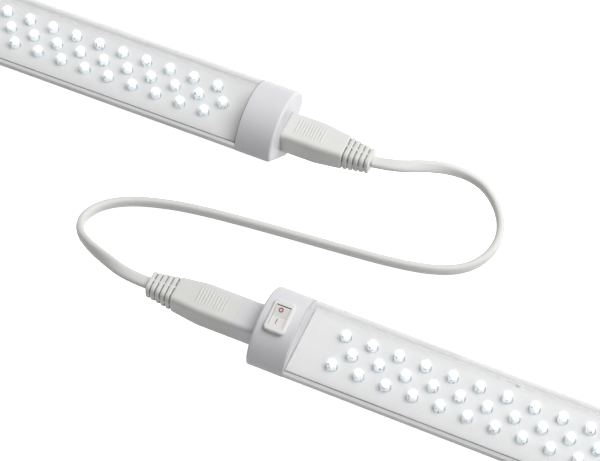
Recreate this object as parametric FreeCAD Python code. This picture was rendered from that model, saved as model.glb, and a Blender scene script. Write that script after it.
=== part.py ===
import FreeCAD, Part
import math
import os

# A linked pair of LED light tubes with their link lead.
# Units are millimetres. The origin is the middle of the pair, on the surface that it stands on.
# +X runs along the tubes, from inlet end to outlet end, and +Z is up, the way the LEDs shine.

Vector = FreeCAD.Vector
ALONG_X = Vector(1, 0, 0)

# One tube: its own x is 0 at the inlet end face, its own y is 0 on its axis, and z is the row's z.
TUBE_LENGTH = 300.0
CAP_LENGTH = 17.0
HALF_WIDTH = 18.9
FRONT_RADIUS = 19.7
FRONT_CENTRE_Z = 19.8
V_SHARP_Z = 2.57
V_TIP_RADIUS = 2.0
CROWN_Z = FRONT_CENTRE_Z + FRONT_RADIUS

# Skins: how far each surface lies inside the end caps' outline
SKIN_STEP = 0.1
WALL = 1.5
LENS_THICKNESS = 1.2
CAP_WALL = 2.0
CAP_EDGE_RADIUS = 1.2
LENS_FOOT_Z = 24.2
LENS_END_GAP = 0.35

# Reflector, LEDs and boards
REFLECTOR_Z = 24.5
REFLECTOR_THICKNESS = 0.9
REFLECTOR_HALF_WIDTH = 16.75
REFLECTOR_END_GAP = 0.2
LEDGE_INNER_Y = 15.6
LEDGE_DEPTH = 1.7
LIP_INNER_Y = 17.1
LIP_OUTER_Y = 17.55
LIP_RISE = 0.2
PEG_PLACE = (108.7, 15.6)
PEG_RADIUS = 1.0
PEG_HEIGHT = 0.9
PINHOLE_X = (99.0, 104.2)
PINHOLE_RADIUS = 0.3
LED_PITCH = 12.0
LED_COLUMNS = 20
LED_ROW_Y = 7.55
LED_FIRST_X = CAP_LENGTH + 17.3
LED_RADIUS = 2.5
LED_FLANGE_RADIUS = 2.9
LED_FLANGE_HEIGHT = 1.0
LED_TIP_Z = 29.5
LED_HOLE_RADIUS = 2.65
BOARD_TOP_Z = 20.9
BOARD_THICKNESS = 1.6
BOARD_HALF_WIDTH = 14.2
BOARD_END_X = 20.0
DRIVER_Z = 12.6
DRIVER_THICKNESS = 1.2
DRIVER_HALF_WIDTH = 7.5
DRIVER_START_X = 90.0
DRIVER_END_X = 200.0

# Plug-and-socket line
CONNECTOR_Z = 21.5
CONNECTOR_WIDTH = 15.6
CONNECTOR_HEIGHT = 13.0
CONNECTOR_CORNER = 2.2
COLLAR_LENGTH = 12.0
COLLAR_BORE_WIDTH = 11.2
COLLAR_BORE_HEIGHT = 8.8
COLLAR_BACK = 1.5
SPIGOT_WIDTH = 12.0
SPIGOT_HEIGHT = 9.6
RECESS_WIDTH = 10.9
RECESS_HEIGHT = 8.5
RECESS_DEPTH = 8.0
SOCKET_WIDTH = 12.9
SOCKET_HEIGHT = 10.5
SOCKET_BLOCK_DEPTH = 7.0
NOSE_CLEARANCE = 0.15
PIN_RADIUS = 1.0
PIN_Y = 2.9
PIN_TIP_DEPTH = 7.5
CONTACT_CLEARANCE = 0.05
CONTACT_WALL = 0.4

# Rocker switch, set at the crown and turned towards the near side about the front's centre
SWITCH_X = 8.6
SWITCH_TURN = 7.0
BEZEL_SIZE = (9.8, 15.0)
BEZEL_CORNER = 2.0
BEZEL_RISE = 0.9
BEZEL_EDGE_RADIUS = 0.8
WINDOW_SIZE = (6.6, 10.8)
WINDOW_REACH = 6.3
CASE_SIZE = (7.6, 12.8)
CASE_TOP = -1.5
CASE_BOTTOM = -11.0
POCKET_BOTTOM = -6.5
CUTOUT_CLEARANCE = 0.1
ROCKER_WIDTH = 6.36
ROCKER_TIP = (4.8, 3.85)
ROCKER_VALLEY = 3.17
ROCKER_BULGE = (5.05, 0.5)
ROCKER_FOOT = (4.7, -2.8)
ROCKER_EDGE = 0.3
ROCKER_TILT = 7.0
PIVOT_DROP = -3.0
PIVOT_RADIUS = 0.8
PIVOT_CLEARANCE = 0.06

# Mounting clips
CLIP_X = (60.0, 240.0)
CLIP_HALF_WIDTH = 4.4
CLIP_HALF_LENGTH = 15.0
CRADLE_HALF_LENGTH = 7.0
CLIP_PLATE = 2.0
CRADLE_TOP = 8.0
STEM_HALF = (5.0, 1.4)
STEM_CLEARANCE = 0.2
HEAD_HALF_WIDTH = 2.2
HEAD_Z = (7.3, 8.4)
CLIP_HOLE_X = 11.0
CLIP_HOLE_RADIUS = 1.8

# The pair and its lead
END_STEP = 332.8
ROW_SPACING = 97.5
PAIR_LENGTH = COLLAR_LENGTH + END_STEP + TUBE_LENGTH
TUBE_PLACES = {
    "a": Vector(COLLAR_LENGTH - PAIR_LENGTH / 2, ROW_SPACING / 2, 0),
    "b": Vector(COLLAR_LENGTH - PAIR_LENGTH / 2 + END_STEP, -ROW_SPACING / 2, 0),
}
GRIP_STRAIGHT = 16.5
GRIP_LENGTH = 29.1
GRIP_END_WIDTH = 13.0
GRIP_END_HEIGHT = 11.2
RIB_COUNT = 10
RIB_PITCH = 1.39
RIB_START = 5.0
RIB_WIDTH = 0.8
RIB_HALF_LENGTH = 3.6
RIB_HEIGHT = 0.35
FIN_COUNT = 5
FIN_THICKNESS = 1.95
FIN_PITCH = 2.45
FIN_GAP = 0.5
FIN_FIRST = (12.6, 10.8)
FIN_LAST = (10.2, 9.0)
CORD_RADIUS = 2.35

# The cord's route, from the plug in tube a's outlet to the connector on tube b's inlet
CORD_ROUTE = [
    (31.15, 48.75, 21.5),
    (42.0, 49.0, 21.5),
    (54.0, 56.8, 18.8),
    (65.5, 63.8, 14.8),
    (77.5, 65.4, 10.6),
    (87.0, 60.0, 7.3),
    (93.8, 50.3, 4.8),
    (94.8, 38.8, 3.3),
    (89.8, 27.6, 2.9),
    (79.5, 19.8, 2.9),
    (61.0, 14.9, 2.9),
    (30.0, 11.7, 2.9),
    (-5.0, 8.7, 2.9),
    (-38.0, 4.9, 2.9),
    (-56.0, 0.5, 2.9),
    (-67.4, -4.3, 3.3),
    (-75.6, -11.6, 4.6),
    (-78.9, -21.6, 7.4),
    (-75.2, -31.4, 11.1),
    (-66.0, -38.2, 15.0),
    (-54.5, -43.6, 18.6),
    (-42.5, -48.6, 21.4),
    (-31.15, -48.75, 21.5),
]


def box(x_range, y_range, z_range):
    """A block between two values on each axis."""
    corner = Vector(x_range[0], y_range[0], z_range[0])
    size = [r[1] - r[0] for r in (x_range, y_range, z_range)]
    return Part.makeBox(size[0], size[1], size[2], corner)


def rod(start, end, radius):
    """A round bar between two points."""
    way = end - start
    return Part.makeCylinder(radius, way.Length, start, way)


def outline(inset):
    """The tube's section, as a wire in the plane x = 0, moved inwards by inset."""
    radius = FRONT_RADIUS - inset
    side = HALF_WIDTH - inset
    sharp = V_SHARP_Z + inset * math.sqrt(2)
    side_top = FRONT_CENTRE_Z + math.sqrt(radius ** 2 - side ** 2)
    tip = max(V_TIP_RADIUS - inset, 0.5)
    tangent = tip / math.sqrt(2)
    tip_bottom = sharp + tip * (math.sqrt(2) - 1)
    near_top = Vector(0, -side, side_top)
    far_top = Vector(0, side, side_top)
    near_shoulder = Vector(0, -side, sharp + side)
    far_shoulder = Vector(0, side, sharp + side)
    near_tip = Vector(0, -tangent, sharp + tangent)
    far_tip = Vector(0, tangent, sharp + tangent)
    crown = Vector(0, 0, FRONT_CENTRE_Z + radius)
    bottom = Vector(0, 0, tip_bottom)
    edges = [
        Part.Arc(near_top, crown, far_top).toShape(),
        Part.makeLine(far_top, far_shoulder),
        Part.makeLine(far_shoulder, far_tip),
        Part.Arc(far_tip, bottom, near_tip).toShape(),
        Part.makeLine(near_tip, near_shoulder),
        Part.makeLine(near_shoulder, near_top),
    ]
    return Part.Wire(edges)


def bar(inset, x_start, x_end):
    """A solid bar of the tube's section."""
    face = Part.Face(outline(inset))
    face.translate(Vector(x_start, 0, 0))
    return face.extrude(Vector(x_end - x_start, 0, 0))


def above(z, x_start, x_end):
    """Everything above z."""
    return box((x_start, x_end), (-40, 40), (z, 60))


def below(z, x_start, x_end):
    """Everything below z."""
    return box((x_start, x_end), (-40, 40), (-10, z))


def rounded_wire(x, width, height, corner, centre_z=CONNECTOR_Z):
    """A rounded rectangle in a plane of constant x."""
    y = width / 2
    z = height / 2
    c = corner
    k = corner * (1 - math.sqrt(0.5))

    def at(dy, dz):
        return Vector(x, dy, centre_z + dz)

    edges = [
        Part.makeLine(at(-y + c, -z), at(y - c, -z)),
        Part.Arc(at(y - c, -z), at(y - k, -z + k), at(y, -z + c)).toShape(),
        Part.makeLine(at(y, -z + c), at(y, z - c)),
        Part.Arc(at(y, z - c), at(y - k, z - k), at(y - c, z)).toShape(),
        Part.makeLine(at(y - c, z), at(-y + c, z)),
        Part.Arc(at(-y + c, z), at(-y + k, z - k), at(-y, z - c)).toShape(),
        Part.makeLine(at(-y, z - c), at(-y, -z + c)),
        Part.Arc(at(-y, -z + c), at(-y + k, -z + k), at(-y + c, -z)).toShape(),
    ]
    return Part.Wire(edges)


def rounded_bar(x_start, x_end, width, height, corner):
    """A straight bar of rounded rectangular section along x."""
    face = Part.Face(rounded_wire(x_start, width, height, corner))
    return face.extrude(Vector(x_end - x_start, 0, 0))


def pin_lines(x_start, x_end, radius):
    """The two bars on the lines of the two connector pins."""
    bars = []
    for y in (-PIN_Y, PIN_Y):
        start = Vector(x_start, y, CONNECTOR_Z)
        end = Vector(x_end, y, CONNECTOR_Z)
        bars.append(rod(start, end, radius))
    return bars


def mirror_tube(shape):
    """The same shape at the tube's other end."""
    return shape.mirror(Vector(TUBE_LENGTH / 2, 0, 0), ALONG_X)


def route_tube(points, radius, report=None):
    """A round tube along straight runs joined by tangent arcs."""
    points = [Vector(*p) for p in points]
    edges = []
    length = 0.0
    start = points[0]
    for index in range(1, len(points) - 1):
        before = points[index - 1] - points[index]
        after = points[index + 1] - points[index]
        reach = 0.45 * min(before.Length, after.Length)
        before.normalize()
        after.normalize()
        half_turn = (math.pi - before.getAngle(after)) / 2
        arc_radius = reach / math.tan(half_turn)
        arc_start = points[index] + before * reach
        arc_end = points[index] + after * reach
        inward = before + after
        inward.normalize()
        centre = points[index] + inward * (arc_radius / math.cos(half_turn))
        arc_middle = centre - inward * arc_radius
        edges.append(Part.LineSegment(start, arc_start).toShape())
        edges.append(Part.Arc(arc_start, arc_middle, arc_end).toShape())
        length += start.distanceToPoint(arc_start) + 2 * half_turn * arc_radius
        start = arc_end
        if report:
            print(report, "point", index, "turn", round(math.degrees(2 * half_turn), 1),
                  "radius", round(arc_radius, 1))
    edges.append(Part.LineSegment(start, points[-1]).toShape())
    length += start.distanceToPoint(points[-1])
    path = Part.Wire(edges)
    section = Part.Wire([Part.makeCircle(radius, points[0], points[1] - points[0])])
    tube = path.makePipeShell([section], True, False)
    if report:
        wanted = math.pi * radius ** 2 * length
        print(report, "length", round(length, 1), "volume ratio", round(tube.Volume / wanted, 4))
    return tube


# Tube body: a V-backed channel, a clear front, a reflector


def cap_screw_lines():
    """Where each end-cap screw enters a V face: a point on the face and the way out of it."""
    lines = []
    for x in (22.0, TUBE_LENGTH - 22.0):
        for side in (-1, 1):
            y = 9.0
            z = V_SHARP_Z + SKIN_STEP * math.sqrt(2) + y
            out = Vector(0, side, -1)
            out.normalize()
            lines.append((Vector(x, side * y, z), out))
    return lines


def housing():
    x_start = CAP_LENGTH
    x_end = TUBE_LENGTH - CAP_LENGTH
    shell = bar(SKIN_STEP, x_start, x_end).cut(bar(SKIN_STEP + WALL, x_start - 1, x_end + 1))
    shell = shell.cut(above(LENS_FOOT_Z, x_start - 1, x_end + 1))
    ledge_top = REFLECTOR_Z - REFLECTOR_THICKNESS
    for side in (-1, 1):
        ledge_y = sorted((side * LEDGE_INNER_Y, side * LIP_OUTER_Y))
        lip_y = sorted((side * LIP_INNER_Y, side * LIP_OUTER_Y))
        shell = shell.fuse(box((x_start, x_end), ledge_y, (ledge_top - LEDGE_DEPTH, ledge_top)))
        shell = shell.fuse(box((x_start, x_end), lip_y, (ledge_top - LEDGE_DEPTH, REFLECTOR_Z + LIP_RISE)))
    for x in CLIP_X:
        slot_x = STEM_HALF[0] + STEM_CLEARANCE
        slot_y = STEM_HALF[1] + STEM_CLEARANCE
        shell = shell.cut(box((x - slot_x, x + slot_x), (-slot_y, slot_y), (0, 9)))
    for point, out in cap_screw_lines():
        shell = shell.cut(rod(point + out * 2, point - out * 4, 1.3))
    return shell.removeSplitter()


def lens_cover():
    x_start = CAP_LENGTH
    x_end = TUBE_LENGTH - CAP_LENGTH
    inner = bar(SKIN_STEP + LENS_THICKNESS, x_start - 1, x_end + 1)
    shell = bar(SKIN_STEP, x_start + LENS_END_GAP, x_end - LENS_END_GAP).cut(inner)
    return shell.cut(below(LENS_FOOT_Z, x_start - 1, x_end + 1))


def led_points():
    """The x and y of every LED: two outer rows, and a middle row half a pitch further on."""
    points = []
    for column in range(LED_COLUMNS):
        x = LED_FIRST_X + column * LED_PITCH
        points.append((x, LED_ROW_Y))
        points.append((x + LED_PITCH / 2, 0.0))
        points.append((x, -LED_ROW_Y))
    return points


def reflector():
    start = CAP_LENGTH + REFLECTOR_END_GAP
    width = (-REFLECTOR_HALF_WIDTH, REFLECTOR_HALF_WIDTH)
    height = (REFLECTOR_Z - REFLECTOR_THICKNESS, REFLECTOR_Z)
    plate = box((start, TUBE_LENGTH - start), width, height)
    holes = []
    for x, y in led_points():
        foot = Vector(x, y, height[0] - 1)
        holes.append(Part.makeCylinder(LED_HOLE_RADIUS, REFLECTOR_THICKNESS + 2, foot))
    for x in PINHOLE_X:
        foot = Vector(x, PEG_PLACE[1], height[0] - 1)
        holes.append(Part.makeCylinder(PINHOLE_RADIUS, REFLECTOR_THICKNESS + 2, foot))
    plate = plate.cut(Part.makeCompound(holes))
    peg_foot = Vector(PEG_PLACE[0], PEG_PLACE[1], REFLECTOR_Z - 0.2)
    return plate.fuse(Part.makeCylinder(PEG_RADIUS, PEG_HEIGHT + 0.2, peg_foot))


def led():
    """One domed LED, standing on the origin."""
    dome_z = LED_TIP_Z - BOARD_TOP_Z - LED_RADIUS
    flange_top = LED_FLANGE_HEIGHT
    points = [
        Vector(0, 0, 0),
        Vector(LED_FLANGE_RADIUS, 0, 0),
        Vector(LED_FLANGE_RADIUS, 0, flange_top),
        Vector(LED_RADIUS, 0, flange_top),
        Vector(LED_RADIUS, 0, dome_z),
    ]
    edges = [Part.makeLine(points[i], points[i + 1]) for i in range(len(points) - 1)]
    middle = Vector(LED_RADIUS * math.sqrt(0.5), 0, dome_z + LED_RADIUS * math.sqrt(0.5))
    top = Vector(0, 0, dome_z + LED_RADIUS)
    edges.append(Part.Arc(points[-1], middle, top).toShape())
    edges.append(Part.makeLine(top, points[0]))
    return Part.Face(Part.Wire(edges)).revolve(Vector(0, 0, 0), Vector(0, 0, 1), 360)


def leds():
    one = led()
    return Part.makeCompound([one.translated(Vector(x, y, BOARD_TOP_Z)) for x, y in led_points()])


def led_board():
    height = (BOARD_TOP_Z - BOARD_THICKNESS, BOARD_TOP_Z)
    width = (-BOARD_HALF_WIDTH, BOARD_HALF_WIDTH)
    return box((BOARD_END_X, TUBE_LENGTH - BOARD_END_X), width, height)


def driver_board():
    width = (-DRIVER_HALF_WIDTH, DRIVER_HALF_WIDTH)
    return box((DRIVER_START_X, DRIVER_END_X), width, (DRIVER_Z, DRIVER_Z + DRIVER_THICKNESS))


def driver_components():
    """Capacitors, transformer, choke, diodes and resistors, standing on the driver board."""
    top = DRIVER_Z + DRIVER_THICKNESS
    parts = [
        rod(Vector(98, -3.4, top + 2.6), Vector(112, -3.4, top + 2.6), 2.6),
        rod(Vector(98, 3.4, top + 2.6), Vector(112, 3.4, top + 2.6), 2.6),
        box((118, 131), (-6, 6), (top, top + 5.4)),
        box((136, 148), (-6.5, -0.8), (top, top + 5.0)),
        rod(Vector(154, 0, top), Vector(154, 0, top + 5.2), 4.5),
    ]
    for index in range(4):
        x = 164 + 7 * index
        parts.append(rod(Vector(x, -5.2, top + 1.1), Vector(x, -1.2, top + 1.1), 1.1))
        parts.append(box((x - 1.2, x + 1.2), (1.8, 5.4), (top, top + 1.4)))
    return Part.makeCompound(parts)


def wiring():
    """The two insulated conductors that carry the supply through to the outlet."""
    wires = []
    tail_x = 9.0
    low_z = 9.4
    far_x = TUBE_LENGTH - RECESS_DEPTH - SOCKET_BLOCK_DEPTH
    for side in (-1, 1):
        pin = side * PIN_Y
        low = side * 2.2
        points = [
            (tail_x, pin, CONNECTOR_Z),
            (11.6, pin, CONNECTOR_Z),
            (12.4, low, low_z),
            (far_x - 2.4, low, low_z),
            (far_x - 1.6, pin, CONNECTOR_Z),
            (far_x, pin, CONNECTOR_Z),
        ]
        wires.append(route_tube(points, 0.8))
    return Part.makeCompound(wires)


def cap_screws():
    """Four pan-head screws through the V faces into the caps' tongues."""
    screws = []
    for point, out in cap_screw_lines():
        head = rod(point, point + out * 1.4, 2.2)
        slot = box((point.x - 1.6, point.x + 1.6), (-0.3, 0.3), (-0.8, 0.8))
        slot.rotate(Vector(point.x, 0, 0), ALONG_X, 45)
        slot.translate(Vector(0, point.y, point.z) + out * 1.4)
        shank = rod(point, point - out * 4.4, 1.2)
        screws.append(head.cut(slot).fuse(shank))
    return Part.makeCompound(screws)


# End caps, with what they hold


def cap_shell():
    """The inlet-end cap before any hole: a box of the tube's section with two tongues."""
    outer = bar(0.0, 0.0, CAP_LENGTH)
    end_edges = [e for e in outer.Edges if max(v.Point.x for v in e.Vertexes) < 0.001]
    outer = outer.makeFillet(CAP_EDGE_RADIUS, end_edges)
    bulkhead = CAP_LENGTH - 1.5
    shell = outer.cut(bar(CAP_WALL, CAP_WALL, bulkhead))
    opening = bar(CAP_WALL, bulkhead - 1, CAP_LENGTH + 1)
    shell = shell.cut(opening.cut(above(LENS_FOOT_Z - 0.2, 0, CAP_LENGTH + 2)))
    tongue = bar(CAP_WALL, CAP_LENGTH - 4, CAP_LENGTH + 9)
    tongue = tongue.cut(bar(CAP_WALL + 1.6, CAP_LENGTH - 5, CAP_LENGTH + 10))
    tongue = tongue.cut(above(17.0, 0, CAP_LENGTH + 12))
    tongue = tongue.cut(box((0, CAP_LENGTH + 12), (-3.5, 3.5), (0, 20)))
    return shell.fuse(tongue)


def screw_holes(cap):
    """The cap with the pilot holes of its screws."""
    for point, out in cap_screw_lines():
        cap = cap.cut(rod(point + out * 2, point - out * 4.4, 1.2))
    return cap


def turned_switch(shape):
    """A shape drawn at the crown, moved to where the switch is."""
    shape = shape.copy()
    shape.rotate(Vector(SWITCH_X, 0, FRONT_CENTRE_Z), ALONG_X, SWITCH_TURN)
    return shape


def switch_block(size, bottom, top):
    """An upright block centred on the switch, with heights counted from the crown."""
    x_range = (SWITCH_X - size[0] / 2, SWITCH_X + size[0] / 2)
    return box(x_range, (-size[1] / 2, size[1] / 2), (CROWN_Z + bottom, CROWN_Z + top))


def inlet_cap():
    cap = cap_shell()
    hole_size = [s + 2 * CUTOUT_CLEARANCE for s in CASE_SIZE]
    cap = cap.cut(turned_switch(switch_block(hole_size, CASE_BOTTOM, 5)))
    cap = cap.cut(rounded_bar(-1, CAP_WALL + 1, SPIGOT_WIDTH, SPIGOT_HEIGHT, 1.0))
    return screw_holes(cap).removeSplitter()


def outlet_cap():
    cap = mirror_tube(cap_shell())
    hole = rounded_bar(TUBE_LENGTH - CAP_WALL - 1, TUBE_LENGTH + 1, SOCKET_WIDTH, SOCKET_HEIGHT, 1.0)
    return screw_holes(cap.cut(hole)).removeSplitter()


def inlet_collar():
    """The shroud around the inlet pins, with a spigot and a flange that hold it in the cap."""
    collar = rounded_bar(-COLLAR_LENGTH, 0, CONNECTOR_WIDTH, CONNECTOR_HEIGHT, CONNECTOR_CORNER)
    mouth = rounded_bar(-COLLAR_LENGTH - 1, -COLLAR_BACK, COLLAR_BORE_WIDTH, COLLAR_BORE_HEIGHT, 1.2)
    spigot = rounded_bar(-0.5, 4.0, SPIGOT_WIDTH, SPIGOT_HEIGHT, 1.0)
    flange = rounded_bar(CAP_WALL, 4.0, CONNECTOR_WIDTH, CONNECTOR_HEIGHT, 1.0)
    collar = collar.cut(mouth).fuse(spigot).fuse(flange)
    for hole in pin_lines(-3, 5, PIN_RADIUS):
        collar = collar.cut(hole)
    return collar.removeSplitter()


def inlet_pins():
    pins = []
    for pin in pin_lines(-PIN_TIP_DEPTH, 9.0, PIN_RADIUS):
        tip = [e for e in pin.Edges if len(e.Vertexes) == 1 and e.Vertexes[0].Point.x < -7]
        pins.append(pin.makeChamfer(0.3, tip))
    return Part.makeCompound(pins)


def outlet_socket():
    """The socket block behind the outlet cap's face, with the recess for the plug's nose."""
    face_x = TUBE_LENGTH
    block_x = face_x - RECESS_DEPTH
    block = rounded_bar(block_x - SOCKET_BLOCK_DEPTH, face_x, SOCKET_WIDTH, SOCKET_HEIGHT, 1.0)
    block = block.cut(rounded_bar(block_x, face_x + 1, RECESS_WIDTH, RECESS_HEIGHT, 0.8))
    hole_radius = PIN_RADIUS + CONTACT_CLEARANCE + CONTACT_WALL
    for hole in pin_lines(block_x - SOCKET_BLOCK_DEPTH + 0.8, block_x + 1, hole_radius):
        block = block.cut(hole)
    return block


def contact_sleeves(x_start, x_end):
    """The two split-free contact sleeves that the pins slide in."""
    inner = PIN_RADIUS + CONTACT_CLEARANCE
    outers = pin_lines(x_start, x_end, inner + CONTACT_WALL)
    bores = pin_lines(x_start - 1, x_end + 1, inner)
    return Part.makeCompound([outer.cut(bore) for outer, bore in zip(outers, bores)])


def outlet_contacts():
    block_x = TUBE_LENGTH - RECESS_DEPTH
    return contact_sleeves(block_x - SOCKET_BLOCK_DEPTH + 0.8, block_x)


# Rocker switch


def switch_bezel():
    """The raised frame, seated on the cap and reaching down its cut-out."""
    rise = switch_block(BEZEL_SIZE, CASE_TOP, BEZEL_RISE)
    corners = [e for e in rise.Edges if abs(e.tangentAt(e.FirstParameter).z) > 0.99]
    rise = rise.makeFillet(BEZEL_CORNER, corners)
    rim = [e for e in rise.Edges if min(v.Point.z for v in e.Vertexes) > CROWN_Z + BEZEL_RISE - 0.001]
    rise = rise.makeFillet(BEZEL_EDGE_RADIUS, rim)
    window = switch_block(WINDOW_SIZE, -20, 5).common(pivot_rod(WINDOW_REACH))
    rise = rise.cut(window)
    body = bar(0.0, -1, CAP_LENGTH + 1).cut(switch_block(CASE_SIZE, -20, 5))
    return turned_switch(rise).cut(turned_switch(body))


def switch_case():
    """The switch's housing below the frame, with the pocket that the rocker tilts in."""
    case = switch_block(CASE_SIZE, CASE_BOTTOM, CASE_TOP)
    case = case.cut(switch_block(WINDOW_SIZE, POCKET_BOTTOM, 5))
    pivot = pivot_rod(PIVOT_RADIUS)
    return turned_switch(case.cut(pivot))


def pivot_rod(radius):
    z = CROWN_Z + PIVOT_DROP
    half = CASE_SIZE[0] / 2
    return rod(Vector(SWITCH_X - half, 0, z), Vector(SWITCH_X + half, 0, z), radius)


def switch_pivot():
    return turned_switch(pivot_rod(PIVOT_RADIUS))


def switch_rocker():
    """The rocker: two facets that meet in a shallow valley, tilted to its on position."""
    pivot_z = CROWN_Z + PIVOT_DROP
    half = [ROCKER_TIP, ROCKER_BULGE, ROCKER_FOOT]
    profile = [(0, ROCKER_VALLEY)] + half + [(-y, z) for y, z in reversed(half)]
    start = SWITCH_X - ROCKER_WIDTH / 2
    corners = [Vector(start, y, pivot_z + z) for y, z in profile]
    rocker = Part.Face(Part.makePolygon(corners + corners[:1])).extrude(ALONG_X * ROCKER_WIDTH)
    tips = [e for e in rocker.Edges if max(v.Point.z for v in e.Vertexes) > pivot_z + ROCKER_TIP[1] - 0.001]
    tips = [e for e in tips if abs(e.tangentAt(e.FirstParameter).x) > 0.99]
    rocker = rocker.makeFillet(ROCKER_EDGE, tips)
    rocker = rocker.cut(pivot_rod(PIVOT_RADIUS + PIVOT_CLEARANCE))
    rocker.rotate(Vector(SWITCH_X, 0, pivot_z), ALONG_X, ROCKER_TILT)
    return turned_switch(rocker)


def switch_terminals():
    """Three blade terminals under the switch."""
    blades = []
    for y in (-4.0, 0.0, 4.0):
        x_range = (SWITCH_X - 1.6, SWITCH_X + 1.6)
        z_range = (CROWN_Z + CASE_BOTTOM - 4.0, CROWN_Z + CASE_BOTTOM)
        blades.append(turned_switch(box(x_range, (y - 0.3, y + 0.3), z_range)))
    return Part.makeCompound(blades)


# Mounting clips


def mounting_clip(x):
    """A cradle under the V, with two screw ears and a mushroom stem that snaps into the slot."""
    plate = box((x - CLIP_HALF_LENGTH, x + CLIP_HALF_LENGTH), (-CLIP_HALF_WIDTH, CLIP_HALF_WIDTH), (0, CLIP_PLATE))
    cradle_x = (x - CRADLE_HALF_LENGTH, x + CRADLE_HALF_LENGTH)
    cradle = box(cradle_x, (-CLIP_HALF_WIDTH, CLIP_HALF_WIDTH), (0, CRADLE_TOP))
    clip = plate.fuse(cradle).cut(bar(SKIN_STEP, x - 20, x + 20))
    stem = box((x - STEM_HALF[0], x + STEM_HALF[0]), (-STEM_HALF[1], STEM_HALF[1]), (1, HEAD_Z[1]))
    head = box((x - STEM_HALF[0], x + STEM_HALF[0]), (-HEAD_HALF_WIDTH, HEAD_HALF_WIDTH), HEAD_Z)
    clip = clip.fuse(stem).fuse(head)
    for side in (-1, 1):
        foot = Vector(x + side * CLIP_HOLE_X, 0, -1)
        clip = clip.cut(Part.makeCylinder(CLIP_HOLE_RADIUS, CLIP_PLATE + 2, foot))
    return clip.removeSplitter()


# Link lead, drawn with x = 0 where the grip starts and the cord leaving along +x


def grip():
    """The moulded grip: straight, then tapering to the strain relief, ribbed on both broad faces."""
    sections = [
        rounded_wire(0, CONNECTOR_WIDTH, CONNECTOR_HEIGHT, CONNECTOR_CORNER),
        rounded_wire(GRIP_STRAIGHT, CONNECTOR_WIDTH, CONNECTOR_HEIGHT, CONNECTOR_CORNER),
        rounded_wire(GRIP_LENGTH, GRIP_END_WIDTH, GRIP_END_HEIGHT, CONNECTOR_CORNER),
    ]
    body = Part.makeLoft(sections, True, True)
    for index in range(RIB_COUNT):
        x = RIB_START + index * RIB_PITCH
        for side in (-1, 1):
            root = CONNECTOR_Z + side * (CONNECTOR_HEIGHT / 2 - 0.5)
            top = CONNECTOR_Z + side * (CONNECTOR_HEIGHT / 2 + RIB_HEIGHT)
            rib = box((x, x + RIB_WIDTH), (-RIB_HALF_LENGTH, RIB_HALF_LENGTH), sorted((root, top)))
            body = body.fuse(rib)
    return body


def strain_relief():
    """Five fins on a core that the cord runs into, joined at their corners."""
    length = FIN_COUNT * FIN_PITCH + 0.2
    relief = rounded_bar(GRIP_LENGTH, GRIP_LENGTH + length, 6.4, 5.0, 2.2)
    for index in range(FIN_COUNT):
        share = index / (FIN_COUNT - 1)
        width = FIN_FIRST[0] + (FIN_LAST[0] - FIN_FIRST[0]) * share
        height = FIN_FIRST[1] + (FIN_LAST[1] - FIN_FIRST[1]) * share
        x = GRIP_LENGTH + FIN_GAP + index * FIN_PITCH
        relief = relief.fuse(rounded_bar(x, x + FIN_THICKNESS, width, height, 2.4))
    return relief.removeSplitter()


def plug_body():
    """The male end: the grip, and a nose that fills the outlet's recess."""
    nose_depth = RECESS_DEPTH - 0.2
    width = RECESS_WIDTH - 2 * NOSE_CLEARANCE
    height = RECESS_HEIGHT - 2 * NOSE_CLEARANCE
    body = grip().fuse(rounded_bar(-nose_depth, 1, width, height, 0.8))
    for hole in pin_lines(-nose_depth - 1, 6, PIN_RADIUS):
        body = body.cut(hole)
    return body.removeSplitter()


def plug_pins():
    return Part.makeCompound(pin_lines(-RECESS_DEPTH - 6.0, 6, PIN_RADIUS))


def connector_body():
    """The female end: the grip, and a nose that enters the inlet's collar."""
    width = COLLAR_BORE_WIDTH - 2 * NOSE_CLEARANCE
    height = COLLAR_BORE_HEIGHT - 2 * NOSE_CLEARANCE
    body = grip().fuse(rounded_bar(-COLLAR_LENGTH + COLLAR_BACK + 0.3, 1, width, height, 1.0))
    hole_radius = PIN_RADIUS + CONTACT_CLEARANCE + CONTACT_WALL
    for hole in pin_lines(-COLLAR_LENGTH - 1, 4, hole_radius):
        body = body.cut(hole)
    return body.removeSplitter()


def connector_contacts():
    return contact_sleeves(-COLLAR_LENGTH + COLLAR_BACK + 0.3, 4)


def at_outlet(shape):
    """A piece of the lead's plug end, moved to tube a's outlet."""
    shape = shape.copy()
    shape.translate(TUBE_PLACES["a"] + ALONG_X * TUBE_LENGTH)
    return shape


def at_inlet(shape):
    """A piece of the lead's connector end, turned round and moved to tube b's inlet."""
    shape = shape.copy()
    shape.rotate(Vector(0, 0, 0), Vector(0, 0, 1), 180)
    shape.translate(TUBE_PLACES["b"] - ALONG_X * COLLAR_LENGTH)
    return shape


def tube_pieces():
    """Every piece of one tube, in its own frame."""
    return {
        "housing": housing(),
        "lens_cover": lens_cover(),
        "reflector": reflector(),
        "leds": leds(),
        "led_board": led_board(),
        "driver_board": driver_board(),
        "driver_components": driver_components(),
        "through_wires": wiring(),
        "cap_screws": cap_screws(),
        "inlet_cap": inlet_cap(),
        "inlet_collar": inlet_collar(),
        "inlet_pins": inlet_pins(),
        "outlet_cap": outlet_cap(),
        "outlet_socket": outlet_socket(),
        "outlet_contacts": outlet_contacts(),
        "switch_bezel": switch_bezel(),
        "switch_case": switch_case(),
        "switch_pivot": switch_pivot(),
        "switch_rocker": switch_rocker(),
        "switch_terminals": switch_terminals(),
        "mounting_clip_1": mounting_clip(CLIP_X[0]),
        "mounting_clip_2": mounting_clip(CLIP_X[1]),
    }


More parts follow.
